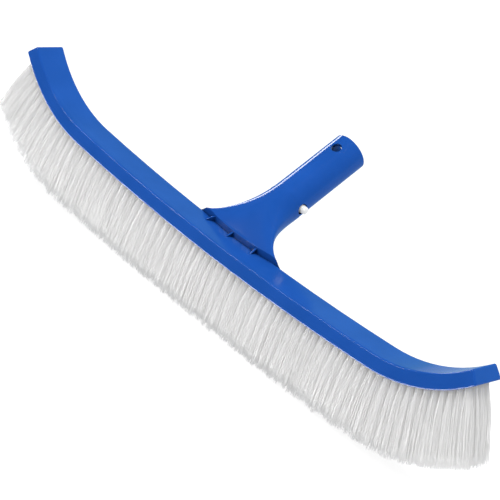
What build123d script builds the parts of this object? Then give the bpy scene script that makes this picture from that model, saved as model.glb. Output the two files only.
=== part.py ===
from build123d import *
from math import cos, degrees, radians, sin, sqrt
import os

# Curved pool wall brush: a moulded back with a pole socket, rows of nylon tufts held in blind holes by
# flat wire anchors, and a sprung plastic clip inside the socket. The back and the socket are one moulding
# on the real brush; here they are two solids that meet face to face.
# Millimetres. X runs along the brush, the socket leans back towards +Y, +Z is up.
# The origin is the middle of the plane of the bristle tips, which rest on z = 0.

# --- driving dimensions -------------------------------------------------------------------------------
BACK_TOP = 61.5  # height of the back's top face at the middle
BACK_THICK = 11.0
BACK_TOP_WIDTH = 26.8
BACK_BOTTOM_WIDTH = 30.0
TOP_EDGE_R = 1.4
BOTTOM_EDGE_R = 1.0
END_CORNER_R = 1.5  # upright corners of the two ends
BOW_R = 1925.0  # gentle bow of the long middle stretch
BOW_HALF = 155.7  # half length of the bow along the top face
END_R = 111.6  # tight curve towards each end
END_TURN = 38.7  # degrees turned by the tight curve
END_STRAIGHT = 7.3

COLUMNS = 74
TUFT_PITCH = 6.5  # along the underside of the back
ROW_NAMES = ("front", "front_inner", "back_inner", "back")
ROW_PITCH = 6.4
ZONES = (12, 12, 13, 13, 12, 12)  # columns in each group of tufts, from -X to +X
HOLE_D = 4.7
HOLE_DEPTH = 7.0
TUFT_ROOT_D = 4.6
TUFT_TIP_D = 6.0
TUFT_FAN = 0.66  # lean of a tuft as a share of the back's slope there
TUFT_LONGER_AT_END = 3.8  # end tufts stand this much longer than the middle ones
FLAT_TRIM = 1.0  # the middle tips are cut flat by up to this much
ANCHOR_BITE = 0.15  # each end of an anchor cuts this far into the hole's wall
ANCHOR_TALL = 1.6
ANCHOR_THICK = 0.5
ANCHOR_DEPTH = 5.2  # from the hole's mouth to the middle of the anchor
ANCHOR_GAP = 0.1

SOCKET_TILT = 36.4  # degrees up from the horizontal
SOCKET_FOOT_Y = 14.1  # where the socket's axis meets the level of the top face
SOCKET_END = 113.1  # distances along the axis are measured from that point
SOCKET_R = 14.6
BORE_R = 12.0
BORE_END = 41.0
MOUTH_CHAMFER = 0.8
DRAFT_END = 56.0  # from here down to the neck the tube thickens a little
DRAFT = 0.12
NECK_LIP = 0.08  # the neck ends this much proud of the tube, a faint parting step
TUBE_OVERLAP = 3.0  # the tube starts this far inside the neck
NECK_LENGTH = 46.0
NECK_FOOT_TOP = 6.5  # the flat foot reaches this far above the socket's axis
NECK_FOOT_BOTTOM = 5.0
FLARE_LENGTH = 49.7
FLARE_WIDTH = 32.0  # the foot is this much wider than the tube on each side
FLARE_POWER = 2.4
CREST_AT_FOOT = 3.2  # the widest line of the neck lies above the axis
CREST_RISE = 24.4
NECK_ROOT = -9.0  # the neck runs down into the back to here
NECK_STATIONS = 24  # sections from the foot up to the tube, closest together at the foot
STEP_Y = 9.0  # front wall of the neck, at the middle
STEP_R = 179.0  # the wall bows back towards its two ends
GUSSETS = ((-26.5, 24.0), (-4.0, 8.0), (20.0, -8.0))  # place along X and turn in degrees
GUSSET_FRONT_Y = 3.6
GUSSET_TALL = 3.6
GUSSET_THICK = 1.3

POLE_HOLE_D = 8.0
POLE_HOLE_AT = 99.8
BUTTON_AT = 49.3
BUTTON_HOLE_D = 8.4
BUTTON_HOLE_AT = 49.0
BUTTON_D = 7.0
BUTTON_TIP_D = 5.2
BUTTON_PROUD = 3.7
CLIP_WIDTH = 9.0
CLIP_THICK = 1.8
CLIP_BEND_R = 5.1  # middle of the strip
CLIP_BEND_AT = 86.0
LEG_TOP = 85.6
LEG_END = 43.5
LEG_END_X = 9.7  # middle of the strip at its free end

# --- the curve of the back ----------------------------------------------------------------------------
BOW_ANGLE = degrees(BOW_HALF / BOW_R)
END_ANGLE = BOW_ANGLE + END_TURN
SOCKET_FRAME = Pos(0, SOCKET_FOOT_Y, BACK_TOP) * Rot(X=SOCKET_TILT)  # X across, Y along the axis


def underside(distance):
    """Point (x, z) on the underside and the slope there in degrees, at a distance from the middle."""
    side = 1 if distance >= 0 else -1
    left = abs(distance)
    bow_radius = BOW_R + BACK_THICK
    end_radius = END_R + BACK_THICK
    bow_length = radians(BOW_ANGLE) * bow_radius
    end_length = radians(END_TURN) * end_radius
    slope = min(left, bow_length) / bow_radius
    x = bow_radius * sin(slope)
    z = BACK_TOP - BACK_THICK + bow_radius * (1 - cos(slope))
    if left > bow_length:
        start = slope
        slope = start + min(left - bow_length, end_length) / end_radius
        x += end_radius * (sin(slope) - sin(start))
        z += end_radius * (cos(start) - cos(slope))
    if left > bow_length + end_length:
        straight = left - bow_length - end_length
        x += straight * cos(slope)
        z += straight * sin(slope)
    return side * x, z, side * degrees(slope)


def back_path():
    """The middle line of the top face, from the -X end to the +X end, as tangent arcs."""
    plane = Plane.XZ
    bow_x = BOW_R * sin(radians(BOW_ANGLE))
    bow_z = BACK_TOP + BOW_R * (1 - cos(radians(BOW_ANGLE)))
    bow = ThreePointArc((-bow_x, bow_z), (0, BACK_TOP), (bow_x, bow_z))
    right = JernArc((bow_x, bow_z), (cos(radians(BOW_ANGLE)), sin(radians(BOW_ANGLE))), END_R, END_TURN)
    left = JernArc((-bow_x, bow_z), (-cos(radians(BOW_ANGLE)), sin(radians(BOW_ANGLE))), END_R, -END_TURN)
    right_end = Line(right @ 1, right @ 1 + (right % 1) * END_STRAIGHT)
    left_end = Line(left @ 1, left @ 1 + (left % 1) * END_STRAIGHT)
    return plane * Wire([left_end, left, bow, right, right_end])


def back_bar():
    """The curved bar that holds the tufts: a rounded trapezium swept along its top line."""
    path = back_path()
    start, along = path @ 0, path % 0
    across = Vector(0, 1, 0)
    section_plane = Plane(origin=start, x_dir=across, z_dir=along)
    down = -1 if section_plane.y_dir.Z > 0 else 1
    outline = Polygon(
        (-BACK_TOP_WIDTH / 2, 0),
        (BACK_TOP_WIDTH / 2, 0),
        (BACK_BOTTOM_WIDTH / 2, down * BACK_THICK),
        (-BACK_BOTTOM_WIDTH / 2, down * BACK_THICK),
        align=None,
    )
    top_corners = outline.vertices().filter_by(lambda v: abs(v.Y) < 1)
    outline = fillet(top_corners, TOP_EDGE_R)
    bottom_corners = outline.vertices().filter_by(lambda v: abs(v.Y) > BACK_THICK - 0.01)
    outline = fillet(bottom_corners, BOTTOM_EDGE_R)
    bar = sweep(section_plane * outline, path)
    slanted = bar.edges().filter_by(lambda e: abs(e.tangent_at(0.5).Y) < 0.5)
    corners = slanted.filter_by(lambda e: e.geom_type == GeomType.LINE and e.length > END_STRAIGHT + 1)
    return fillet(corners, END_CORNER_R)


# --- socket and neck ----------------------------------------------------------------------------------
def neck_section(along):
    """Section of the neck across the socket's axis: an egg of two half ellipses on its widest line."""
    share = min(max(along / NECK_LENGTH, 0), 1)
    growth = 1 - (1 - share) ** 2
    root_r = SOCKET_R + DRAFT + NECK_LIP
    top = NECK_FOOT_TOP + (root_r - NECK_FOOT_TOP) * growth
    bottom = NECK_FOOT_BOTTOM + (root_r - NECK_FOOT_BOTTOM) * growth
    crest = (1 - share) ** 1.5 * (CREST_AT_FOOT + CREST_RISE * share)
    rise = min(max(1 - along / FLARE_LENGTH, 0), 1) ** FLARE_POWER
    half_width = root_r + FLARE_WIDTH * (1 - sqrt(1 - rise))
    upper = EllipticalCenterArc((0, crest), half_width, top - crest, 0, arc_size=180)
    lower = EllipticalCenterArc((0, crest), half_width, crest + bottom, 180, arc_size=180)
    plane = Plane(origin=(0, along, 0), x_dir=(-1, 0, 0), z_dir=(0, 1, 0))
    return plane * make_face([upper, lower])


def neck():
    """The flattened, flared foot of the socket, cut off in front by a low curved wall."""
    stations = [NECK_ROOT] + [NECK_LENGTH * (k / NECK_STATIONS) ** 1.6 for k in range(NECK_STATIONS + 1)]
    flare = SOCKET_FRAME * loft([neck_section(along) for along in stations], ruled=True)
    behind_wall = Pos(0, STEP_Y + STEP_R, BACK_TOP) * Cylinder(STEP_R, 2 * SOCKET_END)
    return flare & behind_wall


def tube():
    """The round socket: a straight tube for the pole, with a slight draft where it joins the neck."""
    outline = Polyline(
        (0, NECK_LENGTH - TUBE_OVERLAP),
        (SOCKET_R + DRAFT, NECK_LENGTH - TUBE_OVERLAP),
        (SOCKET_R, DRAFT_END),
        (SOCKET_R, SOCKET_END - MOUTH_CHAMFER),
        (SOCKET_R - MOUTH_CHAMFER, SOCKET_END),
        (0, SOCKET_END),
        close=True,
    )
    return SOCKET_FRAME * revolve(make_face(outline), Axis.Y, 360)


def gusset(x, turn):
    """A thin triangular rib from the top face up to the neck's front wall."""
    back_y = STEP_Y + 3
    outline = Polygon(
        (GUSSET_FRONT_Y, -2),
        (GUSSET_FRONT_Y, 0),
        (STEP_Y, GUSSET_TALL),
        (back_y, GUSSET_TALL),
        (back_y, -2),
        align=None,
    )
    rib = extrude(Plane.YZ * outline, GUSSET_THICK / 2, both=True)
    pivot = Pos(0, STEP_Y, 0) * Rot(Z=-turn) * Pos(0, -STEP_Y, 0)
    return Pos(x, 0, BACK_TOP) * pivot * rib


def bore():
    depth = SOCKET_END - BORE_END
    hollow = Pos(0, BORE_END, 0) * Rot(X=-90) * Cylinder(
        BORE_R, depth + 1, align=(Align.CENTER, Align.CENTER, Align.MIN)
    )
    pole_hole = Pos(0, POLE_HOLE_AT, 0) * Cylinder(POLE_HOLE_D / 2, 4 * SOCKET_R)
    button_hole = Pos(0, BUTTON_HOLE_AT, 0) * Rot(Y=90) * Cylinder(BUTTON_HOLE_D / 2, 4 * SOCKET_R)
    return SOCKET_FRAME * (hollow + pole_hole + button_hole)


# --- tufts and anchors --------------------------------------------------------------------------------
def tuft_seats():
    """For each column: its place on the underside, and how far its tips stand below that."""
    seats = []
    last = (COLUMNS - 1) / 2 * TUFT_PITCH
    for column in range(COLUMNS):
        distance = column * TUFT_PITCH - last
        x, z, slope = underside(distance)
        lean = TUFT_FAN * slope
        middle_length = BACK_TOP - BACK_THICK + FLAT_TRIM
        length = middle_length + TUFT_LONGER_AT_END * (distance / last) ** 2
        tip_z = z - length * cos(radians(lean))
        if tip_z < 0:
            length += tip_z / cos(radians(lean))
        frame = Pos(x, 0, z) * Rot(Y=-lean)  # local Z points up into the back
        seats.append((frame, lean, length))
    return seats


def tuft(length, lean):
    """One folded bundle of filaments, with the slot that its anchor passes through."""
    root = Pos(0, 0, HOLE_DEPTH / 2 - 0.1) * Cylinder(TUFT_ROOT_D / 2, HOLE_DEPTH - 0.2)
    reach = length + TUFT_TIP_D
    spread = (TUFT_TIP_D - TUFT_ROOT_D) / 2 * reach / length
    brush = Pos(0, 0, -reach / 2) * Cone(TUFT_ROOT_D / 2 + spread, TUFT_ROOT_D / 2, reach)
    trim = Pos(0, 0, -length) * Rot(Y=lean) * Pos(0, 0, -reach) * Box(4 * TUFT_TIP_D, 4 * TUFT_TIP_D, 2 * reach)
    slot = Pos(0, 0, ANCHOR_DEPTH) * Box(
        ANCHOR_THICK + 2 * ANCHOR_GAP, 2 * TUFT_ROOT_D, ANCHOR_TALL + 2 * ANCHOR_GAP
    )
    return root + brush - trim - slot


def anchor():
    """A short piece of flat wire, driven across the hole through the fold of the tuft."""
    return Pos(0, 0, ANCHOR_DEPTH) * Box(ANCHOR_THICK, HOLE_D + 2 * ANCHOR_BITE, ANCHOR_TALL)


def tuft_hole():
    return Pos(0, 0, HOLE_DEPTH / 2 - 0.5) * Cylinder(HOLE_D / 2, HOLE_DEPTH + 1)


# --- clip ---------------------------------------------------------------------------------------------
def clip_bend():
    """The closed end of the clip, nearest the socket's mouth."""
    outer = Circle(CLIP_BEND_R + CLIP_THICK / 2)
    inner = Circle(CLIP_BEND_R - CLIP_THICK / 2)
    lower_half = Pos(0, -CLIP_BEND_R, 0) * Rectangle(4 * CLIP_BEND_R, 2 * CLIP_BEND_R)
    bend = extrude(outer - inner - lower_half, CLIP_WIDTH / 2, both=True)
    return SOCKET_FRAME * Pos(0, CLIP_BEND_AT, 0) * bend


def clip_leg(side):
    """A leg of the clip with its round button; side is -1 on the left and 1 on the right."""
    half = CLIP_THICK / 2
    strip = Polygon(
        (CLIP_BEND_R - half, LEG_TOP),
        (CLIP_BEND_R + half, LEG_TOP),
        (LEG_END_X + half, LEG_END),
        (LEG_END_X - half, LEG_END),
        align=None,
    )
    leg = extrude(strip, CLIP_WIDTH / 2, both=True)
    foot = LEG_END_X - half
    tip = SOCKET_R + BUTTON_PROUD
    shoulder = tip - (BUTTON_D - BUTTON_TIP_D) / 2
    dome_r = BUTTON_TIP_D / 2
    profile = Polygon((foot, 0), (foot, BUTTON_D / 2), (shoulder, dome_r + 0.3), (tip, dome_r - 1), (tip, 0), align=None)
    rounded = profile.vertices().filter_by(lambda v: v.X > shoulder - 0.01 and v.Y > 0)
    button = revolve(fillet(rounded, 0.8), Axis.X, 360)
    leg += Pos(0, BUTTON_AT, 0) * button
    leg = SOCKET_FRAME * leg
    return leg if side > 0 else leg.mirror(Plane.YZ)


# --- build --------------------------------------------------------------------------------------------
def write(shape, name):
    export_step(shape, f"parts/{name}.step")
    print(name, round(shape.volume), shape.is_valid)


def main():
    os.makedirs("parts", exist_ok=True)
    seats = tuft_seats()
    row_y = [(row - (len(ROW_NAMES) - 1) / 2) * ROW_PITCH for row in range(len(ROW_NAMES))]

    bar = back_bar()
    write(bar - [Pos(0, y, 0) * frame * tuft_hole() for frame, _, _ in seats for y in row_y], "brush_back")
    socket = neck() + tube() - bore()
    socket += [gusset(x, turn) for x, turn in GUSSETS]
    write(socket - bar, "pole_socket")

    write(clip_bend(), "clip_bend")
    write(clip_leg(-1), "clip_leg_left")
    write(clip_leg(1), "clip_leg_right")

    column_tufts = [frame * tuft(length, lean) for frame, lean, length in seats]
    for row, y in zip(ROW_NAMES, row_y):
        anchors = [Pos(0, y, 0) * frame * anchor() for frame, _, _ in seats]
        write(Compound(children=anchors), f"anchors_{row}")
        first = 0
        for zone, count in enumerate(ZONES, start=1):
            group = [Pos(0, y, 0) * shape for shape in column_tufts[first : first + count]]
            write(Compound(children=group), f"tufts_{row}_{zone}")
            first += count


main()
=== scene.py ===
from math import cos, pi, radians, sin

import bpy
import numpy as np
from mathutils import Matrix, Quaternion, Vector


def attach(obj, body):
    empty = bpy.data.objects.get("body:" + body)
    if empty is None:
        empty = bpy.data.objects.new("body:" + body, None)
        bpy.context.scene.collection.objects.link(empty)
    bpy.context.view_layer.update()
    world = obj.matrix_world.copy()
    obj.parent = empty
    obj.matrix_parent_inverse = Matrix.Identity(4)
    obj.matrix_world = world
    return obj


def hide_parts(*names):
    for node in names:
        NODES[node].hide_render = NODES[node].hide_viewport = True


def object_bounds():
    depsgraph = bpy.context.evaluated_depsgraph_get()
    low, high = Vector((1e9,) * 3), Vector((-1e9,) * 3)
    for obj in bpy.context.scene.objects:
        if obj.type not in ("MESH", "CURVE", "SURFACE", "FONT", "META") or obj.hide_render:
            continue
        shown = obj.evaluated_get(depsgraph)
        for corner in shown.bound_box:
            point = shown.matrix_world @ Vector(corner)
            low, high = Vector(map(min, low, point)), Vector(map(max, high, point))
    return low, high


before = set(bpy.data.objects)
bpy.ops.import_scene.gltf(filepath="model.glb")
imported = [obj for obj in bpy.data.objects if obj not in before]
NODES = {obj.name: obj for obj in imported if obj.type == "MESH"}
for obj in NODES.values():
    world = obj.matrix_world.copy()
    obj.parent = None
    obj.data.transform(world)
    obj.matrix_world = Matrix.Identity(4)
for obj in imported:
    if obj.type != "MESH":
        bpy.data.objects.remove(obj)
cad_low, cad_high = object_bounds()
MM = 0.001

# --- sizes, in metres ---------------------------------------------------------------------------------
FILAMENT_R = 0.23 * MM
FILAMENTS_PER_TUFT = 84
FILAMENT_SIDES = 5
FILAMENT_RINGS = 8
RING_CROWDING = 1.3  # above 1, the rings of a filament sit closer together near its root
TIP_TAPER = 0.55  # width of a filament's last ring as a share of the others
PLACE_JITTER = 0.04  # unevenness of the packing, as a share of the tuft's radius
HOLE_DEPTH = 7.0 * MM
ROOT_INSIDE = 2.0 * MM  # filaments start this deep inside their hole
ROOT_RING = 0.5 * MM  # points this close to the end of a tuft solid belong to its root
ROOT_FILL = 0.88  # share of the root's radius that the filaments take up
OPEN_FROM = ROOT_INSIDE + 1.0 * MM  # distance from a filament's start to where the tuft begins to open
OPEN_WITHIN = 13.0 * MM  # a tuft opens over about this length
OPEN_POWER = 1.5
BLOOM_R = 4.8 * MM  # radius of an open tuft
CRIMP = 0.16 * MM
CRIMP_WAVE = 7.0 * MM
CLUMPS = 9  # neighbouring filaments of a tuft gather into this many points
TUFT_LEAN = 0.18 * MM
CLUMP_SPLAY = 0.4 * MM
FILAMENT_SPLAY = 0.5 * MM
CLUMP_SHORTER = 1.8 * MM  # typical difference in length between clumps
FILAMENT_SHORTER = 0.216 * MM  # and between the filaments of one clump
TIP_GAP = 0.2 * MM  # the longest filaments end this much above the end of their tuft solid
END_X = max(abs(cad_low[0]), abs(cad_high[0]))
STRAIGHT_BEYOND = 0.70 * END_X  # past this the tufts hang straighter than their holes point
END_HANG = 10.0 * MM
ROOT_SHADE = 12.0 * MM  # the stretch at the root that is darkened with painted shade
EDGE_SOFTNESS = 0.7 * MM
PAINTED_SHADE_REACH = 25.0 * MM  # how far round a point the painted shade of hollows is judged

# --- materials ----------------------------------------------------------------------------------------


def new_material(name):
    material = bpy.data.materials.new(name)
    material.use_nodes = True
    tree = material.node_tree
    return material, tree, tree.nodes["Principled BSDF"]


def add_node(tree, kind, **values):
    node = tree.nodes.new(kind)
    for key, value in values.items():
        if key in node.inputs:
            node.inputs[key].default_value = value
        else:
            setattr(node, key, value)
    return node


def noise(tree, scale, detail=3.0, rough=0.5):
    place = tree.nodes.new("ShaderNodeTexCoord")
    texture = add_node(tree, "ShaderNodeTexNoise", Scale=scale, Detail=detail, Roughness=rough)
    tree.links.new(place.outputs["Object"], texture.inputs["Vector"])
    return texture


def ramp(tree, source, low, high, low_at=0.35, high_at=0.65):
    colours = tree.nodes.new("ShaderNodeValToRGB")
    colours.color_ramp.elements[0].position = low_at
    colours.color_ramp.elements[0].color = low
    colours.color_ramp.elements[1].position = high_at
    colours.color_ramp.elements[1].color = high
    tree.links.new(source, colours.inputs["Fac"])
    return colours


def spread(tree, source, low, high):
    mapped = add_node(tree, "ShaderNodeMapRange", **{"To Min": low, "To Max": high})
    tree.links.new(source, mapped.inputs["Value"])
    return mapped


def bump(tree, height, shader, strength, distance, edge=None):
    """Fine relief on the shader's normal; an edge radius also softens the sharp edges."""
    relief = add_node(tree, "ShaderNodeBump", Strength=strength, Distance=distance)
    tree.links.new(height, relief.inputs["Height"])
    if edge:
        softened = add_node(tree, "ShaderNodeBevel", samples=4, Radius=edge)
        tree.links.new(softened.outputs["Normal"], relief.inputs["Normal"])
    tree.links.new(relief.outputs["Normal"], shader.inputs["Normal"])


def blue_plastic():
    """Glossy moulded polypropylene: faint flow clouds, uneven polish, fine orange peel, painted shade in
    the hollows.
    """
    material, tree, shader = new_material("blue_polypropylene")
    clouds = noise(tree, 28.0, 4.0)
    tint = ramp(tree, clouds.outputs["Fac"], (0.0085, 0.069, 0.330, 1), (0.0115, 0.079, 0.370, 1))
    # painted shade: the base colour is darkened where ambient occlusion finds hollows, creases and the
    # inside of the bore
    hollow_shade = add_node(tree, "ShaderNodeAmbientOcclusion", samples=8, Distance=PAINTED_SHADE_REACH)
    shade = ramp(tree, hollow_shade.outputs["AO"], (0.03, 0.08, 0.12, 1), (1, 1, 1, 1), 0.27, 0.68)
    shaded = add_node(tree, "ShaderNodeMix", data_type="RGBA", blend_type="MULTIPLY")
    shaded.inputs["Factor"].default_value = 1.0
    tree.links.new(tint.outputs["Color"], shaded.inputs["A"])
    tree.links.new(shade.outputs["Color"], shaded.inputs["B"])
    tree.links.new(shaded.outputs["Result"], shader.inputs["Base Color"])
    polish = noise(tree, 160.0, 5.0, 0.6)
    sheen = spread(tree, polish.outputs["Fac"], 0.10, 0.16)
    tree.links.new(sheen.outputs["Result"], shader.inputs["Roughness"])
    peel = noise(tree, 900.0, 2.0)
    bump(tree, peel.outputs["Fac"], shader, 0.012, 0.0002, EDGE_SOFTNESS)
    shader.inputs["Specular IOR Level"].default_value = 0.28
    return material


def white_plastic():
    material, tree, shader = new_material("white_acetal")
    clouds = noise(tree, 90.0)
    tint = ramp(tree, clouds.outputs["Fac"], (0.80, 0.81, 0.79, 1), (0.88, 0.88, 0.87, 1))
    tree.links.new(tint.outputs["Color"], shader.inputs["Base Color"])
    polish = spread(tree, clouds.outputs["Fac"], 0.28, 0.42)
    tree.links.new(polish.outputs["Result"], shader.inputs["Roughness"])
    shader.inputs["Subsurface Weight"].default_value = 0.15
    shader.inputs["Subsurface Radius"].default_value = (0.002, 0.002, 0.002)
    return material


def wire_metal():
    material, tree, shader = new_material("anchor_wire")
    streaks = noise(tree, 700.0, 3.0)
    tint = ramp(tree, streaks.outputs["Fac"], (0.50, 0.49, 0.47, 1), (0.66, 0.65, 0.63, 1))
    tree.links.new(tint.outputs["Color"], shader.inputs["Base Color"])
    shader.inputs["Metallic"].default_value = 1.0
    polish = spread(tree, streaks.outputs["Fac"], 0.25, 0.45)
    tree.links.new(polish.outputs["Result"], shader.inputs["Roughness"])
    return material


def nylon():
    """White nylon filament: the tone changes from one to the next, and the root is warmer and darker with
    painted shade between the crowded tufts.
    """
    material, tree, shader = new_material("white_nylon")
    tone = add_node(tree, "ShaderNodeAttribute", attribute_name="tone")
    tint = ramp(tree, tone.outputs["Fac"], (0.60, 0.60, 0.60, 1), (0.64, 0.64, 0.64, 1), 0.0, 1.0)
    # painted shade: the base colour darkens towards each filament's root, where the tufts crowd together
    depth = add_node(tree, "ShaderNodeAttribute", attribute_name="root")
    root_shaded = add_node(tree, "ShaderNodeMix", data_type="RGBA")
    root_shaded.inputs["B"].default_value = (0.36, 0.355, 0.345, 1)
    tree.links.new(depth.outputs["Fac"], root_shaded.inputs["Factor"])
    tree.links.new(tint.outputs["Color"], root_shaded.inputs["A"])
    tree.links.new(root_shaded.outputs["Result"], shader.inputs["Base Color"])
    polish = spread(tree, tone.outputs["Fac"], 0.30, 0.50)
    tree.links.new(polish.outputs["Result"], shader.inputs["Roughness"])
    # painted light: a faint white glow lifts the shade among the filaments, standing in for light scattered
    # through the nylon
    shader.inputs["Emission Color"].default_value = (1.0, 0.995, 0.985, 1)
    shader.inputs["Emission Strength"].default_value = 0.16
    shader.inputs["Specular IOR Level"].default_value = 0.15
    return material


# --- filaments ----------------------------------------------------------------------------------------


def islands(mesh):
    """The separate solids of a node's mesh, as arrays of vertex places."""
    count = len(mesh.vertices)
    places = np.empty(count * 3)
    mesh.vertices.foreach_get("co", places)
    places = places.reshape(-1, 3)
    _, same = np.unique(np.round(places, 7), axis=0, return_inverse=True)
    same = same.reshape(-1)
    parent = np.arange(same.max() + 1)

    def find(i):
        while parent[i] != i:
            parent[i] = parent[parent[i]]
            i = parent[i]
        return i

    for a, b in (edge.vertices for edge in mesh.edges):
        ra, rb = find(same[a]), find(same[b])
        if ra != rb:
            parent[ra] = rb
    roots = np.array([find(i) for i in same])
    return [places[roots == r] for r in np.unique(roots)]


def tuft_line(points):
    """Root, tip and direction of one tuft solid, and the radius of its root."""
    centre = points.mean(0)
    _, _, axes = np.linalg.svd(points - centre, full_matrices=False)
    axis = axes[0] if axes[0][2] < 0 else -axes[0]
    along = (points - centre) @ axis
    ring = points[along < along.min() + ROOT_RING]
    off = ring - ring.mean(0)
    off -= np.outer(off @ axis, axis)
    root_r = np.linalg.norm(off, axis=1).max()
    return centre + axis * along.min(), centre + axis * along.max(), axis, root_r


def filament_tubes(lines, radius, sides, rings):
    """One mesh of thin capped tubes along the given centre lines, each an array of ring centres."""
    lines = np.asarray(lines)
    count = len(lines)
    tangent = np.gradient(lines, axis=1)
    tangent /= np.linalg.norm(tangent, axis=2, keepdims=True)
    side = np.cross(tangent, np.array([0.0, 1.0, 0.0]))
    side /= np.linalg.norm(side, axis=2, keepdims=True)
    other = np.cross(tangent, side)
    angles = np.arange(sides) * 2 * pi / sides
    taper = np.ones(rings)
    taper[-1] = TIP_TAPER
    ring = side[:, :, None] * np.cos(angles)[:, None] + other[:, :, None] * np.sin(angles)[:, None]
    places = lines[:, :, None] + ring * radius * taper[:, None, None]
    places = places.reshape(-1, 3)
    quads = []
    for r in range(rings - 1):
        for s in range(sides):
            t = (s + 1) % sides
            quads.append((r * sides + s, r * sides + t, (r + 1) * sides + t, (r + 1) * sides + s))
    quads = np.array(quads)
    start = np.arange(count) * rings * sides
    faces = (quads[None] + start[:, None, None]).reshape(-1, 4)
    root_caps = (np.arange(sides)[::-1][None] + start[:, None])
    tip_caps = ((rings - 1) * sides + np.arange(sides))[None] + start[:, None]
    return places, faces.tolist() + root_caps.tolist() + tip_caps.tolist()


def disc_points(count, rng):
    """Evenly packed places in a unit disc, a little disturbed."""
    k = np.arange(count) + 0.5
    radius = np.sqrt(k / count)
    angle = k * pi * (3 - 5**0.5) + rng.uniform(0, 2 * pi)
    places = np.stack([radius * np.cos(angle), radius * np.sin(angle)], 1)
    return places + rng.normal(0, PLACE_JITTER, places.shape)


def tuft_filaments(points, rng):
    """Centre lines of the filaments of one tuft: packed at the root, opening out and crimped below."""
    root, tip, axis, root_r = tuft_line(points)
    start = root + axis * (HOLE_DEPTH - ROOT_INSIDE)
    length = np.linalg.norm(tip - start)
    across = np.cross(axis, [0.0, 1.0, 0.0])
    across /= np.linalg.norm(across)
    along_y = np.cross(axis, across)
    places = disc_points(FILAMENTS_PER_TUFT, rng)
    gathers = disc_points(CLUMPS, rng)
    clump_of = np.linalg.norm(places[:, None] - gathers[None], axis=2).argmin(1)
    share = np.linspace(0, 1, FILAMENT_RINGS) ** RING_CROWDING
    lean = rng.normal(0, TUFT_LEAN, 2)
    past = max(0.0, abs(root[0]) - STRAIGHT_BEYOND)
    inward = -np.sign(root[0]) * END_HANG * past / (END_X - STRAIGHT_BEYOND)
    clump_splay = rng.normal(0, CLUMP_SPLAY, (CLUMPS, 2)) + lean
    clump_short = abs(rng.normal(0, CLUMP_SHORTER, CLUMPS))
    packed_r = root_r * ROOT_FILL
    lines = []
    for clump, (px, py) in zip(clump_of, places):
        reach = length - clump_short[clump] - abs(rng.normal(0, FILAMENT_SHORTER)) - TIP_GAP
        splay = clump_splay[clump] + rng.normal(0, FILAMENT_SPLAY, 2)
        phase = rng.uniform(0, 2 * pi, 2)
        t = share * reach
        below = np.clip(t - OPEN_FROM, 0, None)
        bloom = 1 - np.exp(-((below / OPEN_WITHIN) ** OPEN_POWER))
        wave = CRIMP * np.clip(below / OPEN_WITHIN, 0, 1)
        radius = packed_r + (BLOOM_R - packed_r) * bloom
        drift = below / length
        open_x = px * radius + splay[0] * drift + wave * np.sin(2 * pi * t / CRIMP_WAVE + phase[0])
        open_y = py * radius + splay[1] * drift + wave * np.sin(2 * pi * t / CRIMP_WAVE + phase[1])
        line = start + np.outer(t, axis) + np.outer(open_x, across) + np.outer(open_y, along_y)
        line[:, 0] += inward * drift
        lines.append(line)
    return lines


def make_tufts(node_name, seed, material):
    rng = np.random.default_rng(seed)
    lines = []
    for points in islands(NODES[node_name].data):
        lines += tuft_filaments(points, rng)
    places, faces = filament_tubes(lines, FILAMENT_R, FILAMENT_SIDES, FILAMENT_RINGS)
    mesh = bpy.data.meshes.new("filaments_" + node_name)
    mesh.from_pydata(places.tolist(), [], faces)
    tones = np.repeat(rng.uniform(0, 1, len(lines)), FILAMENT_RINGS * FILAMENT_SIDES)
    mesh.attributes.new("tone", "FLOAT", "POINT").data.foreach_set("value", tones)
    lines = np.asarray(lines)
    run = np.linalg.norm(lines - lines[:, :1], axis=2) - ROOT_INSIDE
    # painted shade at the root: 1 where a filament leaves its hole, fading to 0 over ROOT_SHADE
    depth = np.clip(1 - run / ROOT_SHADE, 0, 1) ** 2
    depths = np.repeat(depth.ravel(), FILAMENT_SIDES)
    mesh.attributes.new("root", "FLOAT", "POINT").data.foreach_set("value", depths)
    mesh.polygons.foreach_set("use_smooth", [len(f) == 4 for f in faces])
    mesh.materials.append(material)
    piece = bpy.data.objects.new("filaments_" + node_name, mesh)
    bpy.context.scene.collection.objects.link(piece)
    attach(piece, "brush")
    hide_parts(node_name)


# --- the scene ----------------------------------------------------------------------------------------
CAMERA_AZIMUTH = 35.74
CAMERA_ELEVATION = 23.53
CAMERA_DISTANCE = 1.2197
CAMERA_ROLL = 21.08
CAMERA_AIM = Vector((0.0212, 0.0166, 0.0639))
CAMERA_LENS = 122.2  # mm, on a sensor 36 mm wide
CAMERA_SHIFT = -0.0263
LIGHT_AIM = Vector((0.0, 0.02, 0.08))
WORLD_LIGHT = 1.0
WORLD_MIRRORED = 0.46  # behind the brush
WORLD_MIRRORED_FRONT = 0.05
WORLD_MIRRORED_TINT = (0.38, 0.88, 1, 1)
BAND_FRONT, BAND_BACK = -0.11, -0.015  # reach in Y of the mirrored floor's bright band
BAND_GLOW = 18.0
FLOOR_HALF = 6.0


def make_camera():
    """Long lens from the front right, rolled so that the brush runs down to the right."""
    lens = bpy.data.cameras.new("camera")
    lens.lens = CAMERA_LENS
    lens.sensor_width = 36.0
    lens.shift_x = CAMERA_SHIFT
    lens.clip_start, lens.clip_end = 0.05, 50.0
    camera = bpy.data.objects.new("camera", lens)
    azimuth, elevation = radians(CAMERA_AZIMUTH), radians(CAMERA_ELEVATION)
    back = Vector((sin(azimuth) * cos(elevation), -cos(azimuth) * cos(elevation), sin(elevation)))
    camera.location = CAMERA_AIM + back * CAMERA_DISTANCE
    roll = Quaternion((0, 0, 1), radians(CAMERA_ROLL))
    camera.rotation_mode = "QUATERNION"
    camera.rotation_quaternion = (-back).to_track_quat("-Z", "Y") @ roll
    bpy.context.scene.collection.objects.link(camera)
    bpy.context.scene.camera = camera


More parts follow.
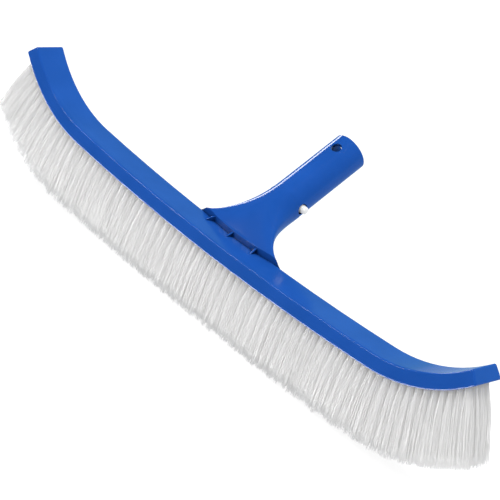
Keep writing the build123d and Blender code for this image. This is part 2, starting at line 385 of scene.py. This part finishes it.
def area_light(name, toward, distance, width, height, power, mirrored):
    """A soft box facing the object from one direction: gloss mirrors it, or it only lights the object."""
    light = bpy.data.lights.new(name, "AREA")
    light.shape = "RECTANGLE"
    light.size = width
    light.size_y = height
    light.energy = power
    lamp = bpy.data.objects.new(name, light)
    direction = Vector(toward).normalized()
    lamp.location = LIGHT_AIM + direction * distance
    lamp.rotation_euler = direction.to_track_quat("Z", "Y").to_euler()
    lamp.visible_camera = False
    lamp.visible_glossy = mirrored
    lamp.visible_diffuse = not mirrored
    bpy.context.scene.collection.objects.link(lamp)


def mix_shaders(tree, share, first, second):
    mixed = tree.nodes.new("ShaderNodeMixShader")
    tree.links.new(share, mixed.inputs["Fac"])
    tree.links.new(first, mixed.inputs[1])
    tree.links.new(second, mixed.inputs[2])
    return mixed.outputs["Shader"]


def mirrored_floor(tree):
    """What gloss mirrors: a floor dark in front, a bright band along the brush, dim and bluish behind."""
    place = tree.nodes.new("ShaderNodeTexCoord")
    parts = tree.nodes.new("ShaderNodeSeparateXYZ")
    tree.links.new(place.outputs["Object"], parts.inputs["Vector"])
    band = tree.nodes.new("ShaderNodeValToRGB")
    stops = band.color_ramp.elements
    dark, bright, behind = (0.002, 0.002, 0.002, 1), (1, 1, 1, 1), (0.018, 0.027, 0.038, 1)
    stops[0].position, stops[0].color = 0.0, dark
    stops[1].position, stops[1].color = 1.0, behind
    for position, level in ((0.20, dark), (0.35, bright), (0.90, bright), (0.98, behind)):
        stop = stops.new(position)
        stop.color = level
    reach = add_node(tree, "ShaderNodeMapRange", **{"From Min": BAND_FRONT, "From Max": BAND_BACK})
    tree.links.new(parts.outputs["Y"], reach.inputs["Value"])
    tree.links.new(reach.outputs["Result"], band.inputs["Fac"])
    glow = add_node(tree, "ShaderNodeEmission", Strength=BAND_GLOW)
    tree.links.new(band.outputs["Color"], glow.inputs["Color"])
    return glow.outputs["Emission"]


def floor_material():
    """Pale to look at; it lights the object and shows in its gloss with brightnesses of their own."""
    material, tree, shader = new_material("pale_floor")
    tree.nodes.remove(shader)
    path = tree.nodes.new("ShaderNodeLightPath")
    lit = add_node(tree, "ShaderNodeBsdfDiffuse", Color=(0.26, 0.26, 0.26, 1))
    glow = add_node(tree, "ShaderNodeEmission", Strength=0.80)
    seen = tree.nodes.new("ShaderNodeAddShader")
    tree.links.new(lit.outputs["BSDF"], seen.inputs[0])
    tree.links.new(glow.outputs["Emission"], seen.inputs[1])
    bounce = tree.nodes.new("ShaderNodeAddShader")
    white = add_node(tree, "ShaderNodeBsdfDiffuse", Color=(0.60, 0.60, 0.60, 1))
    backlit = add_node(tree, "ShaderNodeEmission", Strength=0.27)
    tree.links.new(white.outputs["BSDF"], bounce.inputs[0])
    tree.links.new(backlit.outputs["Emission"], bounce.inputs[1])
    other = mix_shaders(tree, path.outputs["Is Glossy Ray"], bounce.outputs["Shader"], mirrored_floor(tree))
    whole = mix_shaders(tree, path.outputs["Is Camera Ray"], other, seen.outputs["Shader"])
    tree.links.new(whole, tree.nodes["Material Output"].inputs["Surface"])
    return material


def make_floor():
    corners = [(x * FLOOR_HALF, y * FLOOR_HALF, 0) for x, y in ((-1, -1), (1, -1), (1, 1), (-1, 1))]
    mesh = bpy.data.meshes.new("floor")
    mesh.from_pydata(corners, [], [(0, 1, 2, 3)])
    mesh.materials.append(floor_material())
    floor = bpy.data.objects.new("floor", mesh)
    bpy.context.scene.collection.objects.link(floor)


def make_world():
    """White behind the object, white as a source of light, and dim and bluish where gloss mirrors it."""
    world = bpy.data.worlds.new("studio")
    world.use_nodes = True
    tree = world.node_tree
    white = tree.nodes["Background"]
    white.inputs["Color"].default_value = (1, 1, 1, 1)
    white.inputs["Strength"].default_value = 1.0
    soft = add_node(tree, "ShaderNodeBackground", Color=(1, 1, 1, 1), Strength=WORLD_LIGHT)
    dim = add_node(tree, "ShaderNodeBackground", Color=WORLD_MIRRORED_TINT)
    place = tree.nodes.new("ShaderNodeTexCoord")
    parts = tree.nodes.new("ShaderNodeSeparateXYZ")
    tree.links.new(place.outputs["Generated"], parts.inputs["Vector"])
    level = spread(tree, parts.outputs["Y"], WORLD_MIRRORED_FRONT, WORLD_MIRRORED)
    level.inputs["From Min"].default_value = 0.3
    level.inputs["From Max"].default_value = 0.7
    tree.links.new(level.outputs["Result"], dim.inputs["Strength"])
    path = tree.nodes.new("ShaderNodeLightPath")
    lit, gloss = soft.outputs["Background"], dim.outputs["Background"]
    other = mix_shaders(tree, path.outputs["Is Glossy Ray"], lit, gloss)
    whole = mix_shaders(tree, path.outputs["Is Camera Ray"], other, white.outputs["Background"])
    tree.links.new(whole, tree.nodes["World Output"].inputs["Surface"])
    bpy.context.scene.world = world


def make_lights():
    make_world()
    boxes = {"distance": 1.8, "width": 0.9, "height": 0.8, "mirrored": False}
    strips = {"distance": 1.3, "mirrored": True}
    area_light("key", (-0.35, -0.70, 0.62), power=7, **boxes)
    area_light("overhead", (0.10, 0.10, 0.98), power=13, **boxes)
    area_light("edge", (-0.535, -0.72, 0.445), width=0.5, height=0.10, power=4, **strips)
    area_light("rim", (-0.925, 0.29, 0.25), width=0.8, height=0.22, power=5, **strips)


def paint(nodes, material):
    for name in nodes:
        data = NODES[name].data
        data.materials.clear()
        data.materials.append(material)


def main():
    make_camera()
    make_floor()
    make_lights()
    paint(("brush_back", "pole_socket"), blue_plastic())
    paint([n for n in NODES if n.startswith("clip_")], white_plastic())
    paint([n for n in NODES if n.startswith("anchors_")], wire_metal())
    bristle = nylon()
    for seed, name in enumerate(sorted(n for n in NODES if n.startswith("tufts_"))):
        make_tufts(name, seed, bristle)
    bpy.context.scene.view_settings.view_transform = "Standard"


main()
